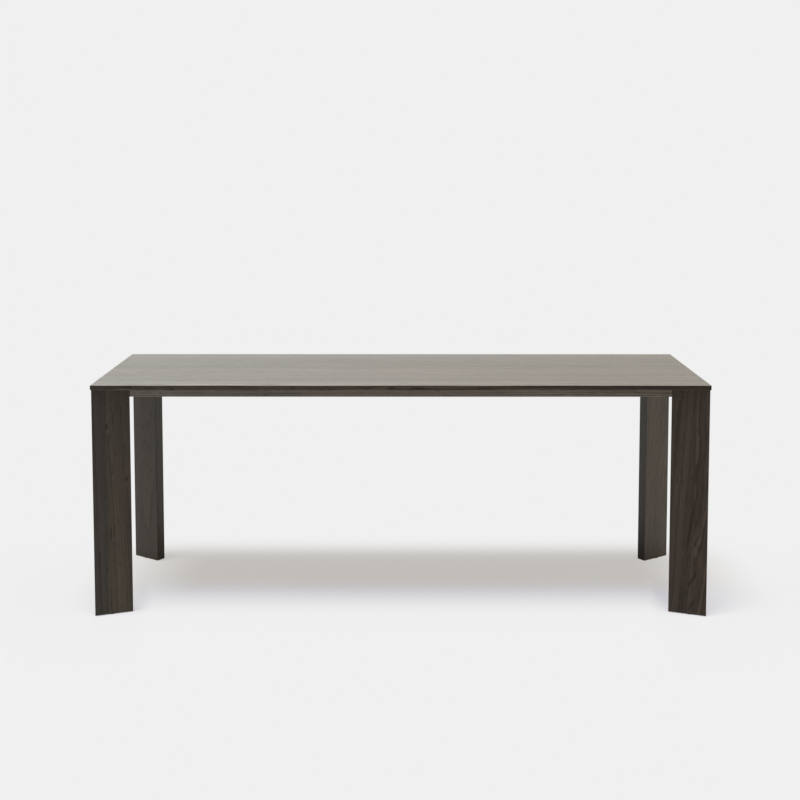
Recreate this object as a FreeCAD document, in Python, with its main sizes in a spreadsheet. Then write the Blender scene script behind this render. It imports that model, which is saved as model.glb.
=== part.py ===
# Dining table: a thin slab of edge-glued oak staves on four wedge-shaped corner legs, held by a
# frame of rails set back under the slab. Millimetres, +Z up. X runs along the table and Y from
# front to back. The origin is on the floor, below the middle of the top.
import FreeCAD, Part
import math
import os

import Sketcher

STAVES = 8

# Driving sizes. Reach is measured in plan from a side edge towards the middle, and depth from the
# front or back edge towards the middle. All four corners are alike.
SIZES = {
    # whole table
    "table_length": 2000,
    "table_width": 1000,
    "table_height": 760,
    # slab, and the small radius on the edges of all wood
    "top_thickness": 15,
    "top_overhang": 3,
    "arris_radius": 1,
    # leg section from its outer corner: the broad face runs to the toe, the narrow inner face from
    # the toe to the heel, and the back face from the heel to the blunt tip
    "toe_reach": 115,
    "toe_depth": 68,
    "heel_reach": 95,
    "heel_depth": 112,
    "tip_width": 9,
    # glue joint between a leg's two boards, where it meets the broad face
    "joint_reach": 41,
    # rails
    "rail_height": 30,
    "end_rail_width": 44,
    "cross_rail_width": 60,
    "cross_rail_spacing": 500,
    # steel bar on edge in a groove in the top of each long rail
    "bar_thickness": 8,
    "bar_height": 24,
    "bar_setback": 8,
    "bar_inset": 260,
    # steel corner plate, let in flush over the leg's head and both rails
    "plate_thickness": 4,
    "plate_margin": 8,
    "plate_reach": 95,
    # loose tenons
    "tenon_length": 42,
    "tenon_height": 18,
    "tenon_thickness": 10,
    "tenon_shift": 5,
    "cross_tenon_pitch": 34,
    # machine screws through the plate into threaded inserts in the leg's end grain
    "leg_screw_diameter": 6,
    "leg_screw_head": 12,
    "leg_screw_length": 26,
    "leg_screw_first": 20,
    "leg_screw_pitch": 22,
    "leg_screw_setback": 17,
    "insert_diameter": 10,
    "insert_length": 25,
    # countersunk wood screws through the plate into the rails
    "rail_screw_diameter": 4.5,
    "rail_screw_head": 9,
    "rail_screw_length": 22,
    "rail_screw_first": 47,
    "rail_screw_pitch": 20,
    # screws and washers that hold the slab down, in slots that let it move across the grain
    "top_screw_diameter": 4,
    "top_screw_bite": 10,
    "top_screw_seat": 18,
    "top_screw_head": 8,
    "top_screw_head_height": 3,
    "top_screw_inset": 250,
    "top_screw_setback": 13.5,
    "slot_travel": 4,
    "washer_diameter": 12,
    "washer_thickness": 1.2,
    # hexagon socket in every screw head, across its flats
    "socket_width": 3,
    "socket_depth": 1.5,
    # nylon glides under each leg
    "glide_diameter": 20,
    "glide_height": 2,
    "glide_radius": 0.8,
    "glide_stem_diameter": 6,
    "glide_stem_length": 12,
    "glide_first": 26,
    "glide_pitch": 42,
    # clearances
    "fit_clearance": 0.1,
    "washer_clearance": 0.5,
    "depth_clearance": 1,
}

doc = FreeCAD.newDocument("DiningTable")
sheet = doc.addObject("Spreadsheet::Sheet", "Sizes")
for row, (alias, number) in enumerate(SIZES.items(), start=1):
    sheet.set(f"A{row}", alias.replace("_", " "))
    sheet.set(f"B{row}", str(number))
    sheet.setAlias(f"B{row}", alias)
doc.recompute()

nodes = []


# --- Heights and plan points that several pieces share, as expressions ---

RAIL_TOP = "(Sizes.table_height - Sizes.top_thickness)"
RAIL_BASE = f"({RAIL_TOP} - Sizes.rail_height)"
PLATE_BASE = f"({RAIL_TOP} - Sizes.plate_thickness)"
TENON_HEIGHT = f"({RAIL_BASE} + (Sizes.rail_height - Sizes.plate_thickness) / 2)"
STAVE_WIDTH = f"(Sizes.table_width / {STAVES})"

# Plan points are pairs: distance from the side edge, distance from the front or back edge.
TIP = ("Sizes.top_overhang", "Sizes.top_overhang")
TIP_BACK = ("Sizes.top_overhang", "(Sizes.top_overhang + Sizes.tip_width)")
TOE = ("(Sizes.top_overhang + Sizes.toe_reach)", "(Sizes.top_overhang + Sizes.toe_depth)")
HEEL = ("(Sizes.top_overhang + Sizes.heel_reach)", "(Sizes.top_overhang + Sizes.heel_depth)")
FACE_SLOPE = "(Sizes.toe_depth / Sizes.toe_reach)"
BACK_SLOPE = "((Sizes.heel_depth - Sizes.tip_width) / Sizes.heel_reach)"


def on_face(reach):
    """Depth of the leg's broad face at a reach."""
    return f"({TIP[1]} + ({reach} - {TIP[0]}) * {FACE_SLOPE})"


def on_back(reach):
    """Depth of the leg's back face at a reach."""
    return f"({TIP_BACK[1]} + ({reach} - {TIP[0]}) * {BACK_SLOPE})"


# The glue joint crosses the leg square to its broad face.
JOINT_REACH = f"({TIP[0]} + Sizes.joint_reach)"
JOINT_FRONT = (JOINT_REACH, on_face(JOINT_REACH))
JOINT_BACK_REACH = (
    f"({TIP[0]} + (Sizes.joint_reach * (Sizes.toe_reach + Sizes.toe_depth * {FACE_SLOPE})"
    f" - Sizes.tip_width * Sizes.toe_depth) / (Sizes.toe_reach + Sizes.toe_depth * {BACK_SLOPE}))"
)
JOINT_BACK = (JOINT_BACK_REACH, on_back(JOINT_BACK_REACH))

END_RAIL_OUTER = f"({HEEL[0]} - Sizes.end_rail_width)"
END_RAIL_MIDDLE = f"({HEEL[0]} - Sizes.end_rail_width / 2)"
LONG_RAIL_MIDDLE = f"(({TOE[1]} + {HEEL[1]}) / 2)"

PLATE_SIDE = f"({END_RAIL_OUTER} + Sizes.plate_margin)"
PLATE_TOE = f"({TOE[0]} - Sizes.plate_margin)"
PLATE_OUTLINE = [
    (PLATE_SIDE, f"({on_face(PLATE_SIDE)} + Sizes.plate_margin)"),
    (PLATE_TOE, f"({on_face(PLATE_TOE)} + Sizes.plate_margin)"),
    (f"({HEEL[0]} + Sizes.plate_reach)", f"({TOE[1]} + Sizes.plate_margin)"),
    (PLATE_SIDE, f"({HEEL[1]} + Sizes.plate_reach)"),
]

LEG_SCREW_REACHES = [
    f"({TOE[0]} - Sizes.leg_screw_first - {step} * Sizes.leg_screw_pitch)" for step in range(2)
]
LEG_SCREWS = [(reach, f"({on_face(reach)} + Sizes.leg_screw_setback)") for reach in LEG_SCREW_REACHES]
RAIL_SCREW_STEPS = [f"Sizes.rail_screw_first + {step} * Sizes.rail_screw_pitch" for step in range(2)]
LONG_RAIL_SCREWS = [(f"({HEEL[0]} + {step})", LONG_RAIL_MIDDLE) for step in RAIL_SCREW_STEPS]
END_RAIL_SCREWS = [(END_RAIL_MIDDLE, f"({HEEL[1]} + {step})") for step in RAIL_SCREW_STEPS]

GLIDE_REACHES = [
    f"({TOE[0]} - Sizes.glide_first - {step} * Sizes.glide_pitch)" for step in range(2)
]
GLIDES = [(reach, f"(({on_face(reach)} + {on_back(reach)}) / 2)") for reach in GLIDE_REACHES]

LONG_TENON = (f"(({TOE[0]} + {HEEL[0]}) / 2 + Sizes.tenon_shift)", LONG_RAIL_MIDDLE)
END_TENON = (END_RAIL_MIDDLE, f"({on_back(END_RAIL_MIDDLE)} + Sizes.tenon_shift)")

SIDES = (("left", -1), ("right", 1))
ENDS = (("front", -1), ("back", 1))
CORNERS = [(f"{end_name}_{side_name}", side, end) for end_name, end in ENDS for side_name, side in SIDES]


def value(expression):
    """Number that an expression gives with the sheet's present sizes."""
    return float(sheet.evalExpression(expression))


def at_corner(side, end, point):
    """Position in X and Y of a plan point at one corner of the table."""
    reach, depth = point
    return (
        f"{side} * (Sizes.table_length / 2 - {reach})",
        f"{end} * (Sizes.table_width / 2 - {depth})",
    )


# --- Bodies, sketches and features ---


def new_body(label, base):
    """Makes an empty body that stands at the height base."""
    body = doc.addObject("PartDesign::Body", label)
    body.Label = label
    body.setExpression("Placement.Base.z", base)
    return body


def new_node(label, base):
    """Makes an empty body that is a sub-part of the table."""
    body = new_body(label, base)
    nodes.append(body)
    return body


def new_sketch(body, plane, offset="0"):
    """Makes a sketch on one of the body's planes, moved along the plane's normal by offset."""
    sketch = body.newObject("Sketcher::SketchObject", body.Name + "_sketch")
    origin_plane = next(item for item in body.Origin.OriginFeatures if item.Role == plane)
    sketch.AttachmentSupport = [(origin_plane, "")]
    sketch.MapMode = "FlatFace"
    sketch.setExpression("AttachmentOffset.Base.z", offset)
    return sketch


def place_point(sketch, geometry, which, point):
    """Holds one point of a sketch's line, circle or arc at a pair of expressions."""
    for direction, expression in zip(("DistanceX", "DistanceY"), point):
        rule = Sketcher.Constraint(direction, -1, 1, geometry, which, value(expression))
        index = sketch.addConstraint(rule)
        sketch.setExpression(f"Constraints[{index}]", expression)


def set_radius(sketch, geometry, radius):
    """Holds the radius of a circle or arc at an expression."""
    index = sketch.addConstraint(Sketcher.Constraint("Radius", geometry, value(radius)))
    sketch.setExpression(f"Constraints[{index}]", radius)


def add_outline(sketch, points):
    """Draws a closed outline of straight lines through points."""
    corners = [FreeCAD.Vector(value(x), value(y), 0) for x, y in points]
    count = len(corners)
    lines = [
        sketch.addGeometry(Part.LineSegment(corners[index], corners[(index + 1) % count]))
        for index in range(count)
    ]
    for index, line in enumerate(lines):
        following = lines[(index + 1) % count]
        sketch.addConstraint(Sketcher.Constraint("Coincident", line, 2, following, 1))
        place_point(sketch, line, 1, points[index])


def add_circle(sketch, centre, radius):
    """Draws a circle."""
    middle = FreeCAD.Vector(value(centre[0]), value(centre[1]), 0)
    circle = sketch.addGeometry(Part.Circle(middle, FreeCAD.Vector(0, 0, 1), value(radius)))
    place_point(sketch, circle, 3, centre)
    set_radius(sketch, circle, radius)


def add_slot(sketch, centre, half_run, radius):
    """Draws a round-ended slot along the sketch's second axis, its arcs half_run from its centre."""
    arcs = []
    for sign, start, stop in ((1, 0, math.pi), (-1, math.pi, 2 * math.pi)):
        arc_centre = (centre[0], f"{centre[1]} + {sign} * ({half_run})")
        middle = FreeCAD.Vector(value(arc_centre[0]), value(arc_centre[1]), 0)
        circle = Part.Circle(middle, FreeCAD.Vector(0, 0, 1), value(radius))
        arc = sketch.addGeometry(Part.ArcOfCircle(circle, start, stop))
        place_point(sketch, arc, 3, arc_centre)
        arcs.append(arc)
    upper, lower = arcs
    left = sketch.addGeometry(Part.LineSegment(sketch.getPoint(upper, 2), sketch.getPoint(lower, 1)))
    right = sketch.addGeometry(Part.LineSegment(sketch.getPoint(lower, 2), sketch.getPoint(upper, 1)))
    sketch.addConstraint(Sketcher.Constraint("Tangent", upper, 2, left, 1))
    sketch.addConstraint(Sketcher.Constraint("Tangent", left, 2, lower, 1))
    sketch.addConstraint(Sketcher.Constraint("Tangent", lower, 2, right, 1))
    sketch.addConstraint(Sketcher.Constraint("Tangent", right, 2, upper, 1))
    sketch.addConstraint(Sketcher.Constraint("Equal", upper, lower))
    set_radius(sketch, upper, radius)


def add_hexagon(sketch, across_flats):
    """Draws a regular hexagon about the sketch's origin."""
    points = []
    for step in range(6):
        angle = math.radians(60 * step)
        directions = (math.cos(angle), math.sin(angle))
        points.append(tuple(f"{part:.9f} * {across_flats} / sqrt(3)" for part in directions))
    add_outline(sketch, points)


def pad(body, sketch, length, symmetric=False):
    """Raises a sketch's outline into a solid."""
    feature = body.newObject("PartDesign::Pad", body.Name + "_pad")
    feature.Profile = sketch
    feature.SideType = "Symmetric" if symmetric else "One side"
    feature.setExpression("Length", length)
    doc.recompute()
    return feature


def pocket(body, sketch, depth, upward=False, symmetric=False):
    """Cuts a sketch's outline down from its plane, up from it, or to both sides of it."""
    feature = body.newObject("PartDesign::Pocket", body.Name + "_pocket")
    feature.Profile = sketch
    feature.Reversed = upward
    feature.SideType = "Symmetric" if symmetric else "One side"
    feature.setExpression("Length", depth)
    doc.recompute()
    return feature


def revolve(body, profile):
    """Turns a half profile, in X and Z, about the body's own vertical axis."""
    sketch = new_sketch(body, "XZ_Plane")
    add_outline(sketch, profile)
    feature = body.newObject("PartDesign::Revolution", body.Name + "_turn")
    feature.Profile = sketch
    feature.ReferenceAxis = (sketch, ["V_Axis"])
    feature.Angle = 360
    doc.recompute()
    return feature


def round_edges(body, chosen, radius="Sizes.arris_radius"):
    """Rounds those edges of the body for which chosen(edge) is true."""
    sharp = body.Tip
    edges = enumerate(sharp.Shape.Edges, start=1)
    names = [f"Edge{number}" for number, edge in edges if chosen(edge)]
    feature = body.newObject("PartDesign::Fillet", body.Name + "_rounding")
    feature.Base = (sharp, names)
    feature.setExpression("Radius", radius)
    doc.recompute()
    return feature


def near(first, second):
    """True for two lengths that are the same."""
    return abs(first - second) < 1e-4


def lies_at_height(edge, height):
    """True for an edge all of whose points are at a height in its own body."""
    return near(edge.BoundBox.ZMin, height) and near(edge.BoundBox.ZMax, height)


def copies(label, template, places):
    """Makes a node of separate solids: one copy of the template at each place, turned about Z."""
    links = []
    upward = FreeCAD.Vector(0, 0, 1)
    for x, y, z, turn in places:
        link = doc.addObject("App::Link", label + "_copy")
        link.LinkedObject = template
        link.LinkTransform = False
        link.Placement = FreeCAD.Placement(FreeCAD.Vector(), FreeCAD.Rotation(upward, turn))
        link.setExpression("Placement.Base.x", x)
        link.setExpression("Placement.Base.y", y)
        link.setExpression("Placement.Base.z", z)
        links.append(link)
    group = doc.addObject("Part::Compound", label)
    group.Label = label
    group.Links = links
    nodes.append(group)
    return group


def at_corners(points, height, turn=0):
    """Places of the same plan points at all four corners, at one height."""
    return [(*at_corner(side, end, point), height, turn) for _, side, end in CORNERS for point in points]


# --- Screws that hold the slab down: where they stand, and their slots and pilot holes ---


def top_screw_places():
    """Plan positions of the slab's screws, by the label of the rail that each one goes through."""
    places = {}
    for end_name, end in ENDS:
        depth = f"({HEEL[1]} - Sizes.top_screw_setback)"
        _, y = at_corner(1, end, (HEEL[0], depth))
        outer = "(Sizes.table_length / 2 - Sizes.top_screw_inset)"
        inner = "(Sizes.cross_rail_spacing / 2)"
        places[f"{end_name}_rail"] = [(f"{sign} * {x}", y) for sign in (-1, 1) for x in (inner, outer)]
    for side_name, side in SIDES:
        x, _ = at_corner(side, 1, (END_RAIL_MIDDLE, HEEL[1]))
        places[f"{side_name}_end_rail"] = [(x, f"{k} * {STAVE_WIDTH}") for k in (-1.5, -0.5, 0.5, 1.5)]
    for name, step in CROSS_RAILS:
        x = f"{step} * Sizes.cross_rail_spacing"
        places[name] = [(x, f"{k} * {STAVE_WIDTH}") for k in (-2.5, -0.5, 0.5, 2.5)]
    return places


def cut_top_screw_slots(rail, places):
    """Cuts the washers' long counterbores from below, and the screws' slots through what is left."""
    cuts = (
        ("Sizes.washer_diameter", "Sizes.rail_height - Sizes.top_screw_seat"),
        ("Sizes.top_screw_diameter", "Sizes.rail_height + Sizes.depth_clearance"),
    )
    for diameter, depth in cuts:
        slots = new_sketch(rail, "XY_Plane")
        for place in places:
            add_slot(slots, place, "Sizes.slot_travel", f"({diameter} / 2 + Sizes.washer_clearance)")
        pocket(rail, slots, depth, upward=True)


CROSS_RAILS = (("left_cross_rail", -1), ("middle_cross_rail", 0), ("right_cross_rail", 1))
TOP_SCREWS = top_screw_places()


# --- Mortises, plate recesses and pilot holes that join the frame ---

MORTISE_HALF_RUN = "(Sizes.tenon_height - Sizes.tenon_thickness) / 2"
MORTISE_RADIUS = "(Sizes.tenon_thickness / 2 + Sizes.fit_clearance)"
MORTISE_LENGTH = "Sizes.tenon_length + Sizes.depth_clearance"


def cut_mortises_along_x(body, base, x, ys):
    """Cuts mortises that run along X, centred at x, in a body that stands at base."""
    sketch = new_sketch(body, "YZ_Plane", x)
    for y in ys:
        add_slot(sketch, (y, f"({TENON_HEIGHT} - {base})"), MORTISE_HALF_RUN, MORTISE_RADIUS)
    pocket(body, sketch, MORTISE_LENGTH, symmetric=True)


def cut_mortises_along_y(body, base, y, xs):
    """Cuts mortises that run along Y, centred at y, in a body that stands at base."""
    sketch = new_sketch(body, "XZ_Plane", f"-({y})")
    for x in xs:
        add_slot(sketch, (x, f"({TENON_HEIGHT} - {base})"), MORTISE_HALF_RUN, MORTISE_RADIUS)
    pocket(body, sketch, MORTISE_LENGTH, symmetric=True)


def cut_plate_recess(body, base, corners):
    """Lets the corner plates into the top of a body at the given corners."""
    sketch = new_sketch(body, "XY_Plane", f"{RAIL_TOP} - {base}")
    for side, end in corners:
        add_outline(sketch, [at_corner(side, end, point) for point in PLATE_OUTLINE])
    pocket(body, sketch, "Sizes.plate_thickness")


def bore_from(body, plane_height, centres, diameter, depth, upward=False):
    """Bores round holes from a height in the body, downward or upward."""
    sketch = new_sketch(body, "XY_Plane", plane_height)
    for centre in centres:
        add_circle(sketch, centre, f"({diameter} / 2 + Sizes.fit_clearance)")
    pocket(body, sketch, depth, upward=upward)


# --- Slab: staves glued edge to edge, long grain along X ---


def make_stave(index):
    """Makes one stave, its outer edges rounded, with the pilot holes of the screws that enter it."""
    stave = new_node(f"top_stave_{index + 1}", RAIL_TOP)
    front = f"({index} * {STAVE_WIDTH} - Sizes.table_width / 2)"
    back = f"({index + 1} * {STAVE_WIDTH} - Sizes.table_width / 2)"
    half_length = "Sizes.table_length / 2"
    left_end = f"-{half_length}"
    sketch = new_sketch(stave, "XY_Plane")
    plan = [(left_end, front), (half_length, front), (half_length, back), (left_end, back)]
    add_outline(sketch, plan)
    pad(stave, sketch, "Sizes.top_thickness")

    def on_slab_edge(edge):
        box = edge.BoundBox
        at_end = near(abs(box.XMin), value(half_length)) and near(box.XMin, box.XMax)
        at_long_side = near(abs(box.YMin), value("Sizes.table_width / 2")) and near(box.YMin, box.YMax)
        flat = near(box.ZMin, box.ZMax)
        return (at_end and flat) or (at_long_side and flat) or (at_end and at_long_side)

    round_edges(stave, on_slab_edge)
    radius = value("Sizes.top_screw_diameter / 2 + Sizes.fit_clearance")
    entering = [
        place
        for places in TOP_SCREWS.values()
        for place in places
        if value(front) - radius < value(place[1]) < value(back) + radius
    ]
    if entering:
        bite = "Sizes.top_screw_bite + Sizes.depth_clearance"
        bore_from(stave, "0", entering, "Sizes.top_screw_diameter", bite, upward=True)


for index in range(STAVES):
    make_stave(index)


# --- Legs: each of two boards glued edge to edge, grain upright ---


def make_leg(corner_name, side, end):
    """Makes one leg's outer board, with the thin tip, and its inner board, which is joined to the frame."""
    base = "Sizes.glide_height"
    height = f"({RAIL_TOP} - {base})"

    def board(kind, section, kept_sharp):
        body = new_node(f"{corner_name}_leg_{kind}_board", base)
        sketch = new_sketch(body, "XY_Plane")
        add_outline(sketch, [at_corner(side, end, point) for point in section])
        pad(body, sketch, height)
        sharp = [at_corner(side, end, point) for point in kept_sharp]
        sharp = [(value(x), value(y)) for x, y in sharp]

        def exposed(edge):
            ends = [vertex.Point for vertex in edge.Vertexes]
            on_joint = [any(near(p.x, x) and near(p.y, y) for x, y in sharp) for p in ends]
            upright = near(ends[0].x, ends[1].x) and near(ends[0].y, ends[1].y)
            return not all(on_joint) and (upright or lies_at_height(edge, 0))

        round_edges(body, exposed)
        return body

    board("outer", [TIP, JOINT_FRONT, JOINT_BACK, TIP_BACK], [JOINT_FRONT, JOINT_BACK])
    inner = board("inner", [JOINT_FRONT, TOE, HEEL, JOINT_BACK], [JOINT_FRONT, JOINT_BACK])
    cut_plate_recess(inner, base, [(side, end)])
    long_x, long_y = at_corner(side, end, LONG_TENON)
    end_x, end_y = at_corner(side, end, END_TENON)
    cut_mortises_along_x(inner, base, long_x, [long_y])
    cut_mortises_along_y(inner, base, end_y, [end_x])
    screws = [at_corner(side, end, point) for point in LEG_SCREWS]
    insert_depth = "Sizes.plate_thickness + Sizes.insert_length + Sizes.depth_clearance"
    bore_from(inner, height, screws, "Sizes.insert_diameter", insert_depth)
    glides = [at_corner(side, end, point) for point in GLIDES]
    stem_depth = "Sizes.glide_stem_length + Sizes.depth_clearance"
    bore_from(inner, "0", glides, "Sizes.glide_stem_diameter", stem_depth, upward=True)


for corner_name, side, end in CORNERS:
    make_leg(corner_name, side, end)


# --- Rails ---


def round_rail_undersides(rail):
    """Rounds the two long lower edges of a rail."""
    lengths = [edge.Length for edge in rail.Tip.Shape.Edges if lies_at_height(edge, 0)]
    long_enough = sum(lengths) / len(lengths)
    round_edges(rail, lambda edge: lies_at_height(edge, 0) and edge.Length > long_enough)


def make_long_rail(end_name, end):
    """Makes the front or back rail, whose ends fit the legs' narrow faces, with its groove for steel."""
    rail = new_node(f"{end_name}_rail", RAIL_BASE)
    sketch = new_sketch(rail, "XY_Plane")
    plan = [(-1, TOE), (1, TOE), (1, HEEL), (-1, HEEL)]
    add_outline(sketch, [at_corner(side, end, point) for side, point in plan])
    pad(rail, sketch, "Sizes.rail_height")
    round_rail_undersides(rail)
    cut_plate_recess(rail, RAIL_BASE, [(-1, end), (1, end)])
    groove = new_sketch(rail, "XY_Plane", "Sizes.rail_height")
    add_outline(groove, bar_outline(end, "Sizes.fit_clearance"))
    pocket(rail, groove, "Sizes.bar_height + Sizes.fit_clearance")
    for side_name, side in SIDES:
        x, y = at_corner(side, end, LONG_TENON)
        cut_mortises_along_x(rail, RAIL_BASE, x, [y])
    _, inner_y = at_corner(1, end, HEEL)
    cut_mortises_along_y(rail, RAIL_BASE, inner_y, cross_tenon_places())
    cut_top_screw_slots(rail, TOP_SCREWS[rail.Label])
    screws = [at_corner(side, end, point) for side_name, side in SIDES for point in LONG_RAIL_SCREWS]
    depth = "Sizes.rail_screw_length + Sizes.depth_clearance"
    bore_from(rail, "Sizes.rail_height", screws, "Sizes.rail_screw_diameter", depth)


def bar_outline(end, clearance):
    """Plan outline of a long rail's steel bar, or of its groove, larger by a clearance all round."""
    reach = f"(Sizes.bar_inset - {clearance})"
    front = f"({TOE[1]} + Sizes.bar_setback - {clearance})"
    back = f"({TOE[1]} + Sizes.bar_setback + Sizes.bar_thickness + {clearance})"
    plan = [(-1, front), (1, front), (1, back), (-1, back)]
    return [at_corner(side, end, (reach, depth)) for side, depth in plan]


def cross_tenon_places():
    """Positions along X of the cross rails' tenons, two at each end of each rail."""
    return [
        f"({step} * Sizes.cross_rail_spacing + {sign} * Sizes.cross_tenon_pitch / 2)"
        for name, step in CROSS_RAILS
        for sign in (-1, 1)
    ]


for end_name, end in ENDS:
    make_long_rail(end_name, end)


def make_end_rail(side_name, side):
    """Makes the left or right end rail, whose ends fit the legs' back faces as far as their heels."""
    rail = new_node(f"{side_name}_end_rail", RAIL_BASE)
    outer = (END_RAIL_OUTER, on_back(END_RAIL_OUTER))
    sketch = new_sketch(rail, "XY_Plane")
    plan = [(-1, outer), (-1, HEEL), (1, HEEL), (1, outer)]
    add_outline(sketch, [at_corner(side, end, point) for end, point in plan])
    pad(rail, sketch, "Sizes.rail_height")
    round_rail_undersides(rail)
    cut_plate_recess(rail, RAIL_BASE, [(side, -1), (side, 1)])
    for end_name, end in ENDS:
        x, y = at_corner(side, end, END_TENON)
        cut_mortises_along_y(rail, RAIL_BASE, y, [x])
    cut_top_screw_slots(rail, TOP_SCREWS[rail.Label])
    screws = [at_corner(side, end, point) for end_name, end in ENDS for point in END_RAIL_SCREWS]
    depth = "Sizes.rail_screw_length + Sizes.depth_clearance"
    bore_from(rail, "Sizes.rail_height", screws, "Sizes.rail_screw_diameter", depth)


for side_name, side in SIDES:
    make_end_rail(side_name, side)


def make_cross_rail(label, step):
    """Makes a flat rail between the long rails, which keeps the slab flat."""
    rail = new_node(label, RAIL_BASE)
    left = f"({step} * Sizes.cross_rail_spacing - Sizes.cross_rail_width / 2)"
    right = f"({step} * Sizes.cross_rail_spacing + Sizes.cross_rail_width / 2)"
    _, front = at_corner(1, -1, HEEL)
    _, back = at_corner(1, 1, HEEL)
    sketch = new_sketch(rail, "XY_Plane")
    add_outline(sketch, [(left, front), (right, front), (right, back), (left, back)])
    pad(rail, sketch, "Sizes.rail_height")
    round_rail_undersides(rail)
    own_tenons = [
        f"({step} * Sizes.cross_rail_spacing + {sign} * Sizes.cross_tenon_pitch / 2)" for sign in (-1, 1)
    ]
    for y in (front, back):
        cut_mortises_along_y(rail, RAIL_BASE, y, own_tenons)
    cut_top_screw_slots(rail, TOP_SCREWS[label])


for label, step in CROSS_RAILS:
    make_cross_rail(label, step)


# --- Steel in the frame ---

for end_name, end in ENDS:
    bar = new_node(f"{end_name}_stiffener_bar", f"{RAIL_TOP} - Sizes.bar_height - Sizes.fit_clearance")
    sketch = new_sketch(bar, "XY_Plane")
    add_outline(sketch, bar_outline(end, "0"))
    pad(bar, sketch, "Sizes.bar_height")


def countersink(plate, centres, diameter, head):
    """Drills countersunk clearance holes through a corner plate from its top."""
    sketch = new_sketch(plate, "XY_Plane", "Sizes.plate_thickness")
    for centre in centres:
        add_circle(sketch, centre, f"{diameter} / 2")
    doc.recompute()
    hole = plate.newObject("PartDesign::Hole", plate.Name + "_hole")
    hole.Profile = sketch
    hole.ThreadType = "None"
    hole.DepthType = "ThroughAll"
    hole.HoleCutType = "Countersink"
    hole.HoleCutCustomValues = True
    hole.HoleCutCountersinkAngle = 90
    hole.setExpression("Diameter", f"{diameter} + 2 * Sizes.fit_clearance")
    hole.setExpression("HoleCutDiameter", f"{head} + 2 * Sizes.fit_clearance")
    doc.recompute()


for corner_name, side, end in CORNERS:
    plate = new_node(f"{corner_name}_corner_plate", PLATE_BASE)
    sketch = new_sketch(plate, "XY_Plane")
    add_outline(sketch, [at_corner(side, end, point) for point in PLATE_OUTLINE])
    pad(plate, sketch, "Sizes.plate_thickness")
    leg_holes = [at_corner(side, end, point) for point in LEG_SCREWS]
    rail_holes = [at_corner(side, end, point) for point in LONG_RAIL_SCREWS + END_RAIL_SCREWS]
    countersink(plate, leg_holes, "Sizes.leg_screw_diameter", "Sizes.leg_screw_head")
    countersink(plate, rail_holes, "Sizes.rail_screw_diameter", "Sizes.rail_screw_head")


# --- Loose tenons, all alike ---

tenon = new_body("tenon_pattern", "0")
tenon_section = new_sketch(tenon, "YZ_Plane")
add_slot(tenon_section, ("0", "0"), MORTISE_HALF_RUN, "Sizes.tenon_thickness / 2")
pad(tenon, tenon_section, "Sizes.tenon_length", symmetric=True)

cross_tenons = [
    (x, at_corner(1, end, HEEL)[1], TENON_HEIGHT, 90)
    for end_name, end in ENDS
    for x in cross_tenon_places()
]
copies(
    "loose_tenons",
    tenon,
    at_corners([LONG_TENON], TENON_HEIGHT) + at_corners([END_TENON], TENON_HEIGHT, 90) + cross_tenons,
)


# --- Screws, inserts, washers and glides: one pattern of each, copied to its places ---


def make_countersunk_screw(label, diameter, head, length):
    """Makes a countersunk screw with a hexagon socket, its flat head's top at height 0."""
    screw = new_body(label, "0")
    shank = f"{diameter} / 2"
    rim = f"{head} / 2"
    neck = (shank, f"{shank} - {rim}")
    revolve(screw, [("0", f"-{length}"), (shank, f"-{length}"), neck, (rim, "0"), ("0", "0")])
    socket = new_sketch(screw, "XY_Plane")
    add_hexagon(socket, "Sizes.socket_width")
    pocket(screw, socket, "Sizes.socket_depth")
    return screw


leg_screw = make_countersunk_screw(
    "leg_screw_pattern", "Sizes.leg_screw_diameter", "Sizes.leg_screw_head", "Sizes.leg_screw_length"
)
copies("leg_plate_screws", leg_screw, at_corners(LEG_SCREWS, RAIL_TOP))

rail_screw = make_countersunk_screw(
    "rail_screw_pattern", "Sizes.rail_screw_diameter", "Sizes.rail_screw_head", "Sizes.rail_screw_length"
)
copies("rail_plate_screws", rail_screw, at_corners(LONG_RAIL_SCREWS + END_RAIL_SCREWS, RAIL_TOP))

insert = new_body("insert_pattern", "0")
insert_section = new_sketch(insert, "XY_Plane")
add_circle(insert_section, ("0", "0"), "Sizes.insert_diameter / 2")
add_circle(insert_section, ("0", "0"), "(Sizes.leg_screw_diameter / 2 + Sizes.fit_clearance)")
pad(insert, insert_section, "Sizes.insert_length")
copies("leg_inserts", insert, at_corners(LEG_SCREWS, f"{PLATE_BASE} - Sizes.insert_length"))

washer = new_body("washer_pattern", "0")
washer_section = new_sketch(washer, "XY_Plane")
add_circle(washer_section, ("0", "0"), "Sizes.washer_diameter / 2")
add_circle(washer_section, ("0", "0"), "(Sizes.top_screw_diameter / 2 + Sizes.fit_clearance)")
pad(washer, washer_section, "Sizes.washer_thickness")

# The slab's screw stands with the underside of its pan head at height 0, and points up.
top_screw = new_body("top_screw_pattern", "0")
top_screw_length = "(Sizes.washer_thickness + Sizes.top_screw_seat + Sizes.top_screw_bite)"
revolve(
    top_screw,
    [
        ("0", "-Sizes.top_screw_head_height"),
        ("Sizes.top_screw_head / 2", "-Sizes.top_screw_head_height"),
        ("Sizes.top_screw_head / 2", "0"),
        ("Sizes.top_screw_diameter / 2", "0"),
        ("Sizes.top_screw_diameter / 2", top_screw_length),
        ("0", top_screw_length),
    ],
)
round_edges(top_screw, lambda edge: lies_at_height(edge, -value("Sizes.top_screw_head_height")))
socket = new_sketch(top_screw, "XY_Plane", "-Sizes.top_screw_head_height")
add_hexagon(socket, "Sizes.socket_width")
pocket(top_screw, socket, "Sizes.socket_depth", upward=True)

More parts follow.
